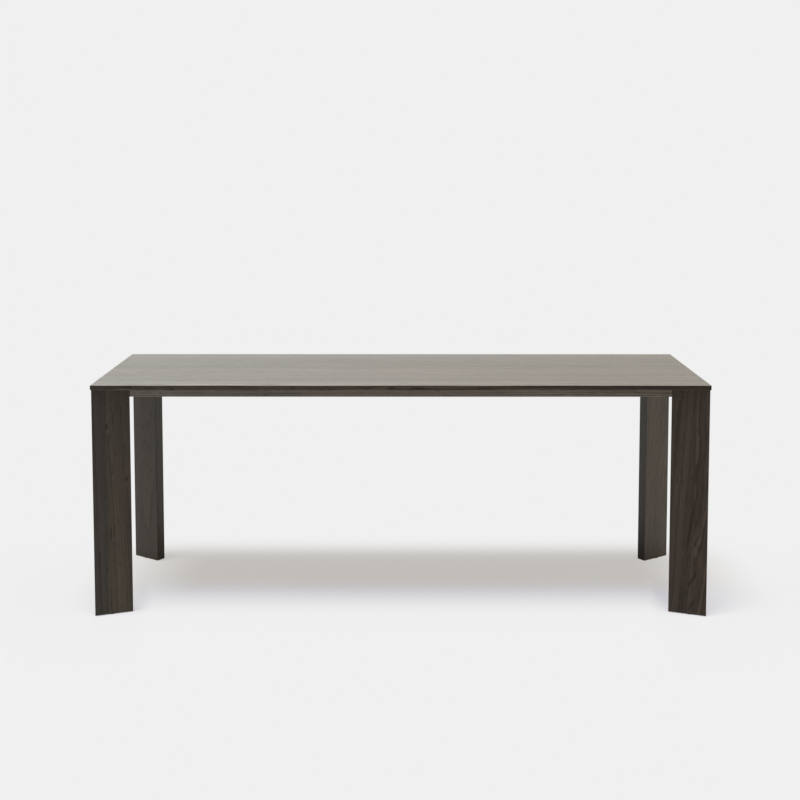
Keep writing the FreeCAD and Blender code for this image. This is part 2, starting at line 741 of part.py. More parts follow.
WASHER_BASE = f"({RAIL_TOP} - Sizes.top_screw_seat - Sizes.washer_thickness)"
top_screw_sites = [(x, y, WASHER_BASE, 0) for places in TOP_SCREWS.values() for x, y in places]
copies("top_screw_washers", washer, top_screw_sites)
copies("top_screws", top_screw, top_screw_sites)

glide = new_body("glide_pattern", "0")
revolve(
    glide,
    [
        ("0", "0"),
        ("Sizes.glide_diameter / 2", "0"),
        ("Sizes.glide_diameter / 2", "Sizes.glide_height"),
        ("Sizes.glide_stem_diameter / 2", "Sizes.glide_height"),
        ("Sizes.glide_stem_diameter / 2", "Sizes.glide_height + Sizes.glide_stem_length"),
        ("0", "Sizes.glide_height + Sizes.glide_stem_length"),
    ],
)
round_edges(glide, lambda edge: lies_at_height(edge, 0), "Sizes.glide_radius")
copies("foot_glides", glide, at_corners(GLIDES, "0"))


# --- Checks, then one STEP file for each sub-part ---

doc.recompute()
for item in doc.Objects:
    if "Invalid" in item.State or "Error" in item.State:
        raise RuntimeError(f"{item.Label} failed to recompute")
    if item.TypeId in ("PartDesign::Pocket", "PartDesign::Hole"):
        if item.Shape.Volume >= item.BaseFeature.Shape.Volume:
            raise RuntimeError(f"{item.Label} cuts nothing")
for node in nodes:
    if node.Shape.isNull() or not node.Shape.isValid():
        raise RuntimeError(f"{node.Label} has no valid shape")

os.makedirs("parts", exist_ok=True)
for node in nodes:
    node.Shape.exportStep(f"parts/{node.Label}.step")
    print(node.Label, len(node.Shape.Solids), "solids", round(node.Shape.Volume), "mm3")
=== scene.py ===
"""Dining table in dark oak: the finish of every piece, the floor, the lights and the camera.

Metres, +Z up. X runs along the table and Y from front to back. The origin is on the floor, below
the middle of the top.
"""
import math
from collections import namedtuple

import bpy
from mathutils import Euler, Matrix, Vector


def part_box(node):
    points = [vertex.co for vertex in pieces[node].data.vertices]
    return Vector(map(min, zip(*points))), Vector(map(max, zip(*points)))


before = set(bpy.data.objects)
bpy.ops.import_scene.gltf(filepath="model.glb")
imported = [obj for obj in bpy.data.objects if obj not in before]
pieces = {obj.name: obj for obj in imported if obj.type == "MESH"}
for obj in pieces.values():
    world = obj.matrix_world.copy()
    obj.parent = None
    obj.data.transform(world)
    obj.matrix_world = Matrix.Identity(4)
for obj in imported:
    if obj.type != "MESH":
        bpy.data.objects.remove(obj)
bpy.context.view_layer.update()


# --- Slab ---
# Eight staves of European oak, planed and glued edge to edge into one thin slab, then stained dark
# and oiled to a low satin. Each comes from another plank, so tone and figure change at a joint.


class Nodes:
    """Adds shader nodes to a tree. Where one takes a value, a socket will do as well as a number."""

    def __init__(self, tree):
        self.tree = tree

    def add(self, kind):
        return self.tree.nodes.new(kind)

    def join(self, value, socket):
        """Links a socket to another one, or sets a plain value on it."""
        if isinstance(value, bpy.types.NodeSocket):
            self.tree.links.new(value, socket)
        else:
            socket.default_value = value

    def join_in_order(self, values, sockets):
        for value, socket in zip(values, sockets):
            self.join(value, socket)

    def number(self, operation, *values):
        node = self.add("ShaderNodeMath")
        node.operation = operation
        self.join_in_order(values, node.inputs)
        return node.outputs[0]

    def scaled(self, value, by, plus):
        return self.number("MULTIPLY_ADD", value, by, plus)

    def vector(self, operation, *values):
        node = self.add("ShaderNodeVectorMath")
        node.operation = operation
        self.join_in_order(values, node.inputs)
        return node.outputs["Value" if operation in ("LENGTH", "DOT_PRODUCT") else "Vector"]

    def laid(self, place, location=(0, 0, 0), rotation=(0, 0, 0)):
        """Turns a place, and then shifts it."""
        node = self.add("ShaderNodeMapping")
        self.join(place, node.inputs["Vector"])
        self.join(location, node.inputs["Location"])
        self.join(rotation, node.inputs["Rotation"])
        return node.outputs["Vector"]

    def apart(self, vector):
        node = self.add("ShaderNodeSeparateXYZ")
        self.join(vector, node.inputs[0])
        return node.outputs

    def together(self, x, y, z):
        node = self.add("ShaderNodeCombineXYZ")
        self.join_in_order((x, y, z), node.inputs)
        return node.outputs[0]

    def noise(self, place, across, along, detail=2.0, roughness=0.5):
        """Soft spots, so many to the metre across the grain and so many along it."""
        node = self.add("ShaderNodeTexNoise")
        self.join(self.vector("MULTIPLY", place, (across, across, along)), node.inputs["Vector"])
        self.join(1.0, node.inputs["Scale"])
        self.join(detail, node.inputs["Detail"])
        self.join(roughness, node.inputs["Roughness"])
        return node

    def chance(self, number):
        """A value from 0 to 1 that is another one for each number."""
        node = self.add("ShaderNodeTexWhiteNoise")
        node.noise_dimensions = "1D"
        self.join(number, node.inputs["W"])
        return node.outputs["Value"]

    def step(self, value, limits, low=0.0, high=1.0):
        """Goes smoothly from low to high as the value passes between two limits."""
        node = self.add("ShaderNodeMapRange")
        node.interpolation_type = "SMOOTHSTEP"
        self.join_in_order((value, *limits, low, high), node.inputs)
        return node.outputs[0]

    def blend(self, amount, first, second, kind="MIX"):
        """Goes from the first colour to the second as the amount goes from 0 to 1."""
        node = self.add("ShaderNodeMix")
        node.data_type = "RGBA"
        node.blend_type = kind
        factor, first_colour, second_colour = (node.inputs[index] for index in (0, 6, 7))
        self.join_in_order((amount, first, second), (factor, first_colour, second_colour))
        blended_colour = node.outputs[2]
        return blended_colour

    def darken(self, amount, colour, shade):
        """Multiplies a colour by a shade, as far as the amount says."""
        return self.blend(amount, colour, shade, "MULTIPLY")


class Finish(Nodes):
    """The nodes of one finish, laid on a piece by its place in the table."""

    def __init__(self, name):
        self.material = bpy.data.materials.new(name)
        self.material.use_nodes = True
        super().__init__(self.material.node_tree)
        self.shader = self.tree.nodes["Principled BSDF"]
        self.place = self.add("ShaderNodeTexCoord").outputs["Object"]

    def give(self, quality, value):
        self.join(value, self.shader.inputs[quality])

    def emboss(self, height, strength, depth):
        bump = self.add("ShaderNodeBump")
        self.join(strength, bump.inputs["Strength"])
        self.join(depth, bump.inputs["Distance"])
        self.join(height, bump.inputs["Height"])
        self.give("Normal", bump.outputs[0])


def rgb(red, green, blue):
    return (red, green, blue, 1.0)


def toned(colour, tone):
    """A colour scaled in red, green and blue."""
    return rgb(*(amount * part for amount, part in zip(colour, tone)))


# How a board is turned to stand upright in its log.
GRAIN_TURNS = {"X": (0, -math.pi / 2, 0), "Y": (math.pi / 2, 0, 0), "Z": (0, 0, 0)}

# A knot or dark streak: its middle, its radius, its length along the grain, its slant across the
# grain, and how far the rings bulge round it, in radii.
Mark = namedtuple("Mark", "point radius length slant bulge")

# A board's narrow faces: the normal of the broad ones, the tone and the contrast of the narrow ones
# against these, and the limits in how squarely a face lies between narrow and broad. The tone paints
# shade on the narrow faces.
NarrowFaces = namedtuple("NarrowFaces", "broad_normal tone contrast limits")

# The middle of what a noise gives, and how far the trunk ripples as a share of how far it wanders.
MEAN_NOISE = 0.5
RIPPLE_SHARE = 0.08


def place_in_log(oak, turn, heart, lean, sway):
    """Finds the place of each point in the log, whose axis wanders and ripples as trees grow."""
    to_log = Euler(turn).to_matrix()
    straight = oak.laid(oak.place, location=-(to_log @ Vector(heart)), rotation=turn)
    straight = oak.laid(straight, rotation=(*lean, 0))
    mean = (MEAN_NOISE, MEAN_NOISE, MEAN_NOISE)
    wander = oak.noise(straight, across=5, along=1.3, detail=2).outputs["Color"]
    shift = oak.vector("MULTIPLY", oak.vector("SUBTRACT", wander, mean), (sway, sway, 0))
    ripple = oak.noise(straight, across=60, along=8, detail=2).outputs["Color"]
    reach = RIPPLE_SHARE * sway
    shiver = oak.vector("MULTIPLY", oak.vector("SUBTRACT", ripple, mean), (reach, reach, 0))
    log = oak.vector("ADD", oak.vector("ADD", straight, shift), shiver)
    return log, wander, shiver


# How fast the swelling falls off, and where a mark's dark core ends, by distance in its own radii.
SWELL_FALL = 0.22
MARK_LIMITS = (0.45, 1.1)


def swell_round_marks(oak, radius, marks, turn, shiver):
    """Bulges the rings round each mark, and finds how dark the marks make each point."""
    mark_shade = 0.0
    for mark in marks:
        centre = oak.laid(oak.vector("SUBTRACT", oak.place, mark.point), rotation=turn)
        side_x, side_y, rise = oak.apart(oak.vector("ADD", centre, shiver))
        side_x = oak.scaled(rise, by=-mark.slant[0], plus=side_x)
        side_y = oak.scaled(rise, by=-mark.slant[1], plus=side_y)
        scale = (1 / mark.radius, 1 / mark.radius, 1 / mark.length)
        span = oak.vector("LENGTH", oak.vector("MULTIPLY", oak.together(side_x, side_y, rise), scale))
        fall = oak.number("MULTIPLY", oak.number("POWER", span, 2.0), -SWELL_FALL)
        swell = oak.number("EXPONENT", fall)
        radius = oak.scaled(swell, by=-mark.bulge * mark.radius, plus=radius)
        mark_shade = oak.number("MAXIMUM", mark_shade, oak.step(span, MARK_LIMITS, 1.0, 0.0))
    return radius, mark_shade


RING_WIDTH = 0.0026

# Good and lean years come in runs of a few years, and the rings stand wider and closer with them.
RUN_OF_YEARS = 3.5
RUN_STRETCH = 2.3

# The shares of a year in which the porous early wood opens and closes.
EARLY_WOOD_OPENS = (0.0, 0.06)
EARLY_WOOD_CLOSES = (0.12, 0.5)


def count_years(oak, radius, ring):
    """Finds where the porous early wood lies, and a tone for each year and each run of years."""
    runs = oak.add("ShaderNodeTexNoise")
    runs.noise_dimensions = "1D"
    oak.join(oak.number("DIVIDE", radius, RUN_OF_YEARS * ring), runs.inputs["W"])
    oak.join(1.0, runs.inputs["Scale"])
    oak.join(1.0, runs.inputs["Detail"])
    run_tone = runs.outputs[0]
    years = oak.scaled(run_tone, by=RUN_STRETCH, plus=oak.number("DIVIDE", radius, ring))
    year_tone = oak.chance(oak.number("FLOOR", years))
    season = oak.number("FRACT", years)
    opened = oak.step(season, EARLY_WOOD_OPENS)
    early = oak.number("MULTIPLY", oak.step(season, EARLY_WOOD_CLOSES, 1.0, 0.0), opened)
    return early, year_tone, run_tone


PORE_LIMITS = (0.54, 0.64)
LATE_PORES = 0.2


def open_pores(oak, dash, early):
    """Pores are short dashes, thickest in the early wood."""
    share = oak.scaled(early, by=1 - LATE_PORES, plus=LATE_PORES)
    return oak.number("MULTIPLY", oak.step(dash, PORE_LIMITS), share)


# Rays to the metre, counted outwards and along the trunk.
RAYS_OUT = 60
RAYS_ALONG = 45
RAY_LIMITS = (0.62, 0.70)


def find_rays(oak, spoke, radius, along):
    """Rays run out from the heart: flecks on a quartered face, thin dashes on a slab-sawn one."""
    out_x, out_y, _ = oak.apart(oak.vector("NORMALIZE", spoke))
    climb = oak.scaled(radius, by=RAYS_OUT, plus=oak.number("MULTIPLY", along, RAYS_ALONG))
    rays = oak.noise(oak.together(out_x, out_y, climb), across=60, along=1, detail=1).outputs[0]
    return oak.step(rays, RAY_LIMITS)


# The stain on early and late wood, and where it flushes red. The mean depth lies between the first
# two, and the red shows where two noises together pass its limits.
EARLY_STAIN = (0.0200, 0.0128, 0.0072)
LATE_STAIN = (0.0640, 0.0498, 0.0362)
RED_STAIN = (0.0560, 0.0370, 0.0250)
MEAN_DEPTH = 0.56
RED_LIMITS = (0.94, 1.14)
RED_STRENGTH = 0.7

# What pores, flecks, marks and glue lines darken the stain by, and how strongly they and rays show.
PORE_SHADE = rgb(0.24, 0.18, 0.14)
PORE_STRENGTH = 0.75
RAY_STRENGTH = 0.3
FLECK_SHADE = rgb(0.38, 0.30, 0.24)
FLECK_LIMITS = (0.62, 0.73)
MARK_SHADE = rgb(0.26, 0.16, 0.10)
MARK_STRENGTH = 0.95
GLUE_SHADE = rgb(0.3, 0.27, 0.25)
GLUE_STRENGTH = 0.5
GLUE_LINE = 0.00025

# The oil: how much duller it lies in pores and streaks, and how far it lets the grain be felt.
DULLING = 0.12
SPECULAR_LEVEL = 0.3
RELIEF_STRENGTH = 0.2
RELIEF_DEPTH = 0.0002
EARLY_WOOD_DEPTH = 0.25


def oak_board(
    name, grain, heart, lean, tone, marks=(), joints=(), fade=None, narrow_faces=None,
    ring=RING_WIDTH, figure=1.0, mottle=1.0, sway=0.05, flecks=0.0, roughness=0.42,
):
    """Stains and oils one board, with the rings as each face would cut them.

    heart is a point on the log's axis, lean the trunk's slope against the board, sway how far the
    trunk wanders, and ring the width of a year's growth. tone scales the stain, figure the contrast
    of the rings, and mottle that of the streaks and patches. joints are the planes of glue lines as
    (point, normal), fade is (limits along the grain, tone past them), flecks is how dark the short
    dashes are, and roughness is that of the oil.
    """
    oak = Finish(name)
    turn = GRAIN_TURNS[grain]
    log, wander, shiver = place_in_log(oak, turn, heart, lean, sway)
    across_x, across_y, along = oak.apart(log)
    spoke = oak.together(across_x, across_y, 0)
    radius, mark_shade = swell_round_marks(oak, oak.vector("LENGTH", spoke), marks, turn, shiver)
    early, year_tone, run_tone = count_years(oak, radius, ring)
    streak = oak.noise(log, across=200, along=4, detail=3, roughness=0.65).outputs[0]
    dash = oak.noise(log, across=1500, along=50, detail=1).outputs[0]
    pores = open_pores(oak, dash, early)
    rays = find_rays(oak, spoke, radius, along)

    # The stain takes unevenly: by the rings, in broad drifts along the trunk, in patches a hand
    # wide and in streaks. Each row is what it follows, the level at which that does nothing, and a
    # weight.
    _, drift, flush = oak.apart(wander)
    patch = oak.noise(log, across=24, along=6, detail=2).outputs["Color"]
    patch_drift, patch_flush, _ = oak.apart(patch)
    swings = (
        (early, 0.0, -0.26 * figure),
        (year_tone, MEAN_NOISE, 0.30 * figure),
        (run_tone, MEAN_NOISE, 0.75 * figure),
        (drift, MEAN_NOISE, 0.8 * mottle),
        (patch_drift, MEAN_NOISE, 0.6 * mottle),
        (streak, MEAN_NOISE, 1.0 * mottle),
        (dash, MEAN_NOISE, 0.3 * mottle),
    )
    swing = 0.0
    for part, level, weight in swings:
        swing = oak.scaled(oak.number("SUBTRACT", part, level), by=weight, plus=swing)
    if narrow_faces:
        normal = oak.add("ShaderNodeNewGeometry").outputs["True Normal"]
        facing = oak.vector("DOT_PRODUCT", normal, narrow_faces.broad_normal)
        narrow = oak.step(oak.number("ABSOLUTE", facing), narrow_faces.limits, 1.0, 0.0)
        contrast = oak.scaled(narrow, by=narrow_faces.contrast - 1, plus=1.0)
        swing = oak.number("MULTIPLY", swing, contrast)
    depth = oak.step(oak.number("ADD", swing, MEAN_DEPTH), (0.0, 1.0))
    late_stain = toned(LATE_STAIN, tone)
    wood = oak.blend(depth, toned(EARLY_STAIN, tone), late_stain)
    flush = oak.step(oak.number("ADD", flush, patch_flush), RED_LIMITS, 0.0, RED_STRENGTH * mottle)
    wood = oak.blend(flush, wood, toned(RED_STAIN, tone))
    wood = oak.darken(oak.number("MULTIPLY", pores, PORE_STRENGTH), wood, PORE_SHADE)
    wood = oak.blend(oak.number("MULTIPLY", rays, RAY_STRENGTH), wood, late_stain)
    if flecks:
        fleck = oak.noise(log, across=150, along=24, detail=1).outputs[0]
        wood = oak.darken(oak.step(fleck, FLECK_LIMITS, 0.0, flecks), wood, FLECK_SHADE)
    if marks:
        wood = oak.darken(oak.number("MULTIPLY", mark_shade, MARK_STRENGTH), wood, MARK_SHADE)
    for point, normal in joints:
        offset = oak.vector("DOT_PRODUCT", oak.vector("SUBTRACT", oak.place, point), normal)
        offset = oak.number("ABSOLUTE", offset)
        line = oak.step(offset, (GLUE_LINE, 2 * GLUE_LINE), GLUE_STRENGTH, 0.0)
        wood = oak.darken(line, wood, GLUE_SHADE)
    # Colour that changes along the grain between two limits. On the slab and the legs it is painted
    # shade and light.
    if fade:
        limits, end_tone = fade
        position = oak.apart(oak.place)["XYZ".index(grain)]
        wood = oak.darken(oak.step(position, limits), wood, rgb(*end_tone))
    # Painted shade: the narrow faces are darkened against the broad ones, by how squarely they face.
    if narrow_faces:
        wood = oak.darken(narrow, wood, rgb(*narrow_faces.tone))
    oak.give("Base Color", wood)

    # The oil lies a little duller in the pores, and they stay open.
    dull = oak.scaled(pores, by=DULLING, plus=roughness)
    dull = oak.scaled(oak.number("SUBTRACT", streak, MEAN_NOISE), by=DULLING, plus=dull)
    oak.give("Roughness", dull)
    oak.give("Specular IOR Level", SPECULAR_LEVEL)
    relief = oak.scaled(pores, by=-1.0, plus=oak.number("MULTIPLY", early, -EARLY_WOOD_DEPTH))
    oak.emboss(relief, strength=RELIEF_STRENGTH, depth=RELIEF_DEPTH)
    return oak.material


def finish_piece(name, material):
    """Gives a piece its finish."""
    pieces[name].material_slots[0].material = material


STAVE_COUNT = 8
slab_low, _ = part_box("top_stave_1")
_, slab_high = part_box(f"top_stave_{STAVE_COUNT}")
stave_width = (slab_high.y - slab_low.y) / STAVE_COUNT
slab_middle = (slab_low.z + slab_high.z) / 2

# Boards are taken this far apart along the trunk, so that each has a figure of its own.
PLANK_LENGTH = 4.7

# For each stave, from the front: the heart's offset across it and in height, its lean, and its tone.
# The tones differ as the planks do. All of them stand several times above the legs': a painted sheen in
# place of the top's reflection at a low angle.
STAVE_CUTS = [
    (0.02, -0.09, 0.012, (3.75, 4.1, 5.1)),
    (-0.05, -0.05, -0.015, (2.8, 3.2, 3.6)),
    (0.00, -0.12, 0.010, (3.1, 3.2, 3.7)),
    (0.03, -0.07, -0.020, (3.0, 3.2, 3.7)),
    (-0.02, -0.10, 0.014, (2.10, 2.40, 2.72)),
    (0.06, -0.06, -0.010, (2.55, 2.9, 2.9)),
    (0.01, -0.14, 0.018, (2.65, 2.95, 3.10)),
    (-0.04, -0.08, 0.008, (3.1, 3.55, 4.7)),
]

# Painted shade: the colour darkens to the right, and the narrow edges are painted darker than the top.
SLAB_SHADE_TO_RIGHT = ((slab_low.x, slab_high.x), (0.80, 0.74, 0.62))
SLAB_SHADED_EDGES = NarrowFaces(
    broad_normal=(0, 0, 1), tone=(0.282, 0.258, 0.218), contrast=1.7, limits=(0.2, 0.6)
)

# Knots and dark streaks on the front edge: X, height above the slab's middle, radius and length.
EDGE_MARKS = [
    (-0.880, 0.001, 0.0050, 0.024),
    (-0.740, -0.004, 0.0030, 0.012),
    (-0.630, 0.007, 0.0035, 0.200),
    (-0.348, -0.001, 0.0035, 0.010),
    (-0.110, -0.001, 0.0040, 0.030),
    (-0.030, 0.000, 0.0045, 0.017),
    (0.055, -0.001, 0.0045, 0.030),
    (0.270, -0.002, 0.0030, 0.030),
    (0.520, 0.006, 0.0080, 0.200),
    (0.820, 0.004, 0.0100, 0.290),
]
EDGE_MARK_BULGE = 1.3

front_edge_marks = []
for x, height, radius, length in EDGE_MARKS:
    point = (x, slab_low.y, slab_middle + height)
    front_edge_marks.append(Mark(point, radius, length, slant=(0, 0), bulge=EDGE_MARK_BULGE))

for index, (aside, below, lean, tone) in enumerate(STAVE_CUTS):
    number = index + 1
    middle = slab_low.y + (index + 0.5) * stave_width
    joints = []
    for seam in (index, index + 1):
        if 0 < seam < STAVE_COUNT:
            joints.append(((0, slab_low.y + seam * stave_width, 0), (0, 1, 0)))
    stave_oak = oak_board(
        f"stained oak, stave {number}",
        grain="X",
        heart=(number * PLANK_LENGTH, middle + aside, slab_low.z + below),
        lean=(lean, lean / 2),
        tone=tone,
        marks=front_edge_marks if number == 1 else [],
        joints=joints,
        fade=SLAB_SHADE_TO_RIGHT,
        narrow_faces=SLAB_SHADED_EDGES,
        figure=1.6,
        mottle=0.7,
        roughness=0.275,
    )
    finish_piece(f"top_stave_{number}", stave_oak)


# --- Legs ---
# Each leg is two boards of oak glued edge to edge, grain upright, planed to a wedge whose thin tip
# stands at the table's corner. The glue joint runs up the broad face, a third of the way in.

# How far in and how far back the broad face runs, from the tip to the toe.
TOE_REACH = 0.115
TOE_DEPTH = 0.068

outer_low, outer_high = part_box("front_left_leg_outer_board")
overhang = outer_low.x - slab_low.x
joint_reach = outer_high.x - outer_low.x

# For each board: the heart's place along the broad face and behind it, the ring width, the sway, the
# tone, the tone of the head against the foot, the figure and the mottle. The back legs' tones, the back
# right's most, are set lighter than the front ones': painted light on legs that stand in the slab's
# shade.
LEG_CUTS = {
    "front_left": (
        ("outer", 0.16, 0.04, 0.0046, 0.020, (0.91, 1.03, 1.20), 0.73, 0.65, 0.6),
        ("inner", 0.25, 0.06, 0.0060, 0.015, (1.28, 1.33, 1.36), 0.87, 0.5, 0.4),
    ),
    "front_right": (
        ("outer", 0.02, 0.07, 0.0040, 0.060, (1.03, 0.93, 0.93), 1.0, 1.8, 0.6),
        ("inner", 0.20, 0.05, 0.0076, 0.015, (0.92, 0.86, 0.90), 1.16, 2.3, 0.5),
    ),
    "back_left": (
        ("outer", 0.02, 0.12, 0.0026, 0.040, (1.19, 1.25, 1.43), 0.79, 0.4, 0.6),
        ("inner", 0.16, 0.10, 0.0026, 0.030, (1.17, 1.16, 1.12), 0.79, 0.4, 0.5),
    ),
    "back_right": (
        ("outer", 0.02, 0.12, 0.0026, 0.040, (2.22, 2.38, 2.52), 1.0, 0.5, 0.7),
        ("inner", 0.16, 0.10, 0.0026, 0.030, (1.95, 2.07, 2.13), 1.0, 0.5, 0.7),
    ),
}

# The heights between which each leg's colour goes from the foot's tone to the head's: painted shade and
# light that follow how bright each leg is along its height.
LEG_FADE_LIMITS = (0.1, 0.7)
LEG_LEAN = (0.02, 0.015)

# Knots and dark streaks on the front legs: distance from the tip along the broad face, height,
# radius, length, slant along the face, and how far the rings bulge round them.
LEG_MARKS = {
    "front_left": [
        (0.050, 0.622, 0.0055, 0.012, 0.0, 1.3),
        (0.118, 0.445, 0.0050, 0.010, 0.0, 1.3),
        (0.060, 0.270, 0.0030, 0.030, 0.0, 0.5),
    ],
    "front_right": [
        (0.060, 0.293, 0.0066, 0.100, -0.15, 0.3),
        (0.051, 0.117, 0.0062, 0.028, -0.55, 0.2),
        (0.052, 0.035, 0.0060, 0.026, -0.50, 0.2),
        (0.098, 0.717, 0.0040, 0.007, 0.0, 1.3),
    ],
}

# The narrow faces are painted darker than the broad ones: painted shade, deepest on the back right leg.
LEG_EDGE_SHADES = {
    "front_left": (0.70, 0.70, 0.58),
    "front_right": (0.70, 0.70, 0.58),
    "back_left": (0.80, 0.77, 0.58),
    "back_right": (0.315, 0.33, 0.22),
}
LEG_EDGE_CONTRAST = 1.4
LEG_EDGE_LIMITS = (0.5, 0.9)

face_run = Vector((TOE_REACH, TOE_DEPTH, 0)).normalized()
face_normal = Vector((-TOE_DEPTH, TOE_REACH, 0)).normalized()
boards_cut = 0
for end_name, end in (("front", -1), ("back", 1)):
    for side_name, side in (("left", -1), ("right", 1)):
        corner = f"{end_name}_{side_name}"
        tip = Vector((side * (slab_high.x - overhang), end * (slab_high.y - overhang), 0))
        inward = Vector((-side, -end, 1))
        joint = tip + joint_reach * Vector((1, TOE_DEPTH / TOE_REACH, 0)) * inward
        run = face_run * inward
        into_leg = face_normal * inward
        edges = NarrowFaces(into_leg, LEG_EDGE_SHADES[corner], LEG_EDGE_CONTRAST, LEG_EDGE_LIMITS)
        marks = []
        for along_face, height, radius, length, slant, bulge in LEG_MARKS.get(corner, ()):
            point = tip + run * along_face + Vector((0, 0, height))
            marks.append(Mark(point, radius, length, (run.x * slant, run.y * slant), bulge))
        for board, along_face, behind, ring, sway, tone, head, figure, mottle in LEG_CUTS[corner]:
            boards_cut += 1
            heart = tip + run * along_face + into_leg * behind
            heart.z = boards_cut * PLANK_LENGTH
            board_oak = oak_board(
                f"stained oak, {corner} leg, {board} board".replace("_", " "),
                grain="Z",
                heart=heart,
                lean=(LEG_LEAN[0] * side, LEG_LEAN[1] * end),
                tone=tone,
                marks=marks,
                joints=[(joint, run)],
                fade=(LEG_FADE_LIMITS, (head, head, head)),
                narrow_faces=edges,
                ring=ring,
                figure=figure,
                mottle=mottle,
                sway=sway,
                flecks=0.6,
            )
            finish_piece(f"{corner}_leg_{board}_board", board_oak)


# --- Rails ---
# Slim rails of the same oak, set back under the slab, their lower edges eased. The long ones take the
# legs' pull and the flat cross rails keep the slab true. Their colour is set much lighter than the
# legs'.

LONG_RAIL_TONE = (3.75, 4.4, 5.5)
CROSS_RAIL_TONE = (2.4, 2.5, 2.6)
LONG_RAIL_FADE = ((0.1, 0.6), (1.14, 1.12, 1.10))

# For each rail: its grain, a point on its log's axis, its lean, its tone and how it fades.
RAIL_CUTS = {
    "front_rail": ("X", (11.3, -0.35, 0.70), (0.006, 0.004), LONG_RAIL_TONE, LONG_RAIL_FADE),
    "back_rail": ("X", (17.9, 0.37, 0.69), (-0.010, 0.004), LONG_RAIL_TONE, LONG_RAIL_FADE),
    "left_end_rail": ("Y", (-0.87, 21.1, 0.68), (0.012, 0.010), CROSS_RAIL_TONE, None),
    "right_end_rail": ("Y", (0.95, 25.3, 0.68), (0.010, -0.012), CROSS_RAIL_TONE, None),
    "left_cross_rail": ("Y", (-0.52, 29.7, 0.64), (0.014, 0.008), CROSS_RAIL_TONE, None),
    "middle_cross_rail": ("Y", (0.04, 33.1, 0.65), (-0.012, 0.010), CROSS_RAIL_TONE, None),
    "right_cross_rail": ("Y", (0.47, 37.9, 0.63), (0.008, -0.014), CROSS_RAIL_TONE, None),
}

for name, (grain, heart, lean, tone, fade) in RAIL_CUTS.items():
    rail_oak = oak_board(
        f"stained oak, {name}".replace("_", " "),
        grain=grain,
        heart=heart,
        lean=lean,
        tone=tone,
        fade=fade,
        figure=1.3,
        mottle=0.7,
        sway=0.02,
        flecks=0.4,
    )
    finish_piece(name, rail_oak)


# --- Steel in the frame ---
# Flat bars on edge in the long rails and plates across the corners, laser cut from mild steel,
# deburred and powder coated in a fine matt black.


def powder_coat(name):
    """Matt black powder coat with its fine orange-peel texture."""
    black = rgb(0.012, 0.012, 0.013)
    glint = rgb(0.30, 0.30, 0.31)
    coat = Finish(name)
    grit = coat.noise(coat.place, across=2600, along=2600, detail=2).outputs[0]
    peel = coat.noise(coat.place, across=420, along=420, detail=1).outputs[0]
    coat.give("Base Color", coat.blend(coat.scaled(grit, by=0.02, plus=0.015), black, glint))
    coat.give("Roughness", coat.scaled(peel, by=0.2, plus=0.5))
    coat.emboss(coat.number("ADD", grit, peel), strength=0.35, depth=0.0003)
    return coat.material


black_coat = powder_coat("matt black powder coat")
for name in pieces:
    if name.endswith("_stiffener_bar") or name.endswith("_corner_plate"):
        finish_piece(name, black_coat)


# --- Loose tenons ---
# Beech tenons with milled flutes, glued into mortises in the legs and rails. Bare wood, pale and
# even, with the short dark flecks of beech.


def bare_beech(name):
    """Unfinished steamed beech, with fine fibre and short flecks."""
    dark_fibre = rgb(0.42, 0.25, 0.14)
    pale_fibre = rgb(0.56, 0.36, 0.21)
    fleck_brown = rgb(0.28, 0.15, 0.08)
    beech = Finish(name)
    fibre = beech.noise(beech.place, across=500, along=500, detail=2).outputs[0]
    fleck = beech.noise(beech.place, across=1500, along=1500, detail=1).outputs[0]
    wood = beech.blend(fibre, dark_fibre, pale_fibre)
    wood = beech.blend(beech.step(fleck, (0.6, 0.7), 0.0, 0.4), wood, fleck_brown)
    beech.give("Base Color", wood)
    beech.give("Roughness", beech.scaled(fibre, by=0.1, plus=0.6))
    return beech.material


finish_piece("loose_tenons", bare_beech("bare beech"))


# --- Screws, inserts and washers ---
# Zinc-plated steel: machine screws into threaded inserts in the legs' end grain, wood screws through
# the plates, and pan heads on washers that let the slab move.


def bright_zinc(name):
    """Bright zinc plate with faint clouding and turning marks."""
    dull_zinc = rgb(0.46, 0.47, 0.48)
    clear_zinc = rgb(0.66, 0.66, 0.64)
    zinc = Finish(name)
    cloud = zinc.noise(zinc.place, across=350, along=350, detail=3).outputs[0]
    turning = zinc.noise(zinc.place, across=300, along=6000, detail=1).outputs[0]
    zinc.give("Base Color", zinc.blend(cloud, dull_zinc, clear_zinc))
    clouded = zinc.scaled(cloud, by=0.2, plus=0.2)
    zinc.give("Roughness", zinc.scaled(turning, by=0.1, plus=clouded))
    zinc.give("Metallic", 1.0)
    return zinc.material


zinc_plate = bright_zinc("bright zinc plate")
for name in ("leg_plate_screws", "rail_plate_screws", "leg_inserts", "top_screw_washers", "top_screws"):
    finish_piece(name, zinc_plate)


# --- Foot glides ---
# Moulded nylon discs with a stem, pushed into holes under each leg. They lift the end grain off the
# floor and show only as a thin dark line.


def moulded_nylon(name):
    """Dark grey-brown nylon, finely grained by its mould and scuffed in patches."""
    fresh = rgb(0.012, 0.011, 0.010)
    scuffed = rgb(0.035, 0.032, 0.029)
    nylon = Finish(name)
    mould = nylon.noise(nylon.place, across=3500, along=3500, detail=2).outputs[0]
    scuff = nylon.noise(nylon.place, across=260, along=260, detail=3).outputs[0]
    nylon.give("Base Color", nylon.blend(nylon.step(scuff, (0.45, 0.75), 0.0, 0.6), fresh, scuffed))
    nylon.give("Roughness", nylon.scaled(mould, by=0.2, plus=0.45))
    return nylon.material


finish_piece("foot_glides", moulded_nylon("moulded nylon"))


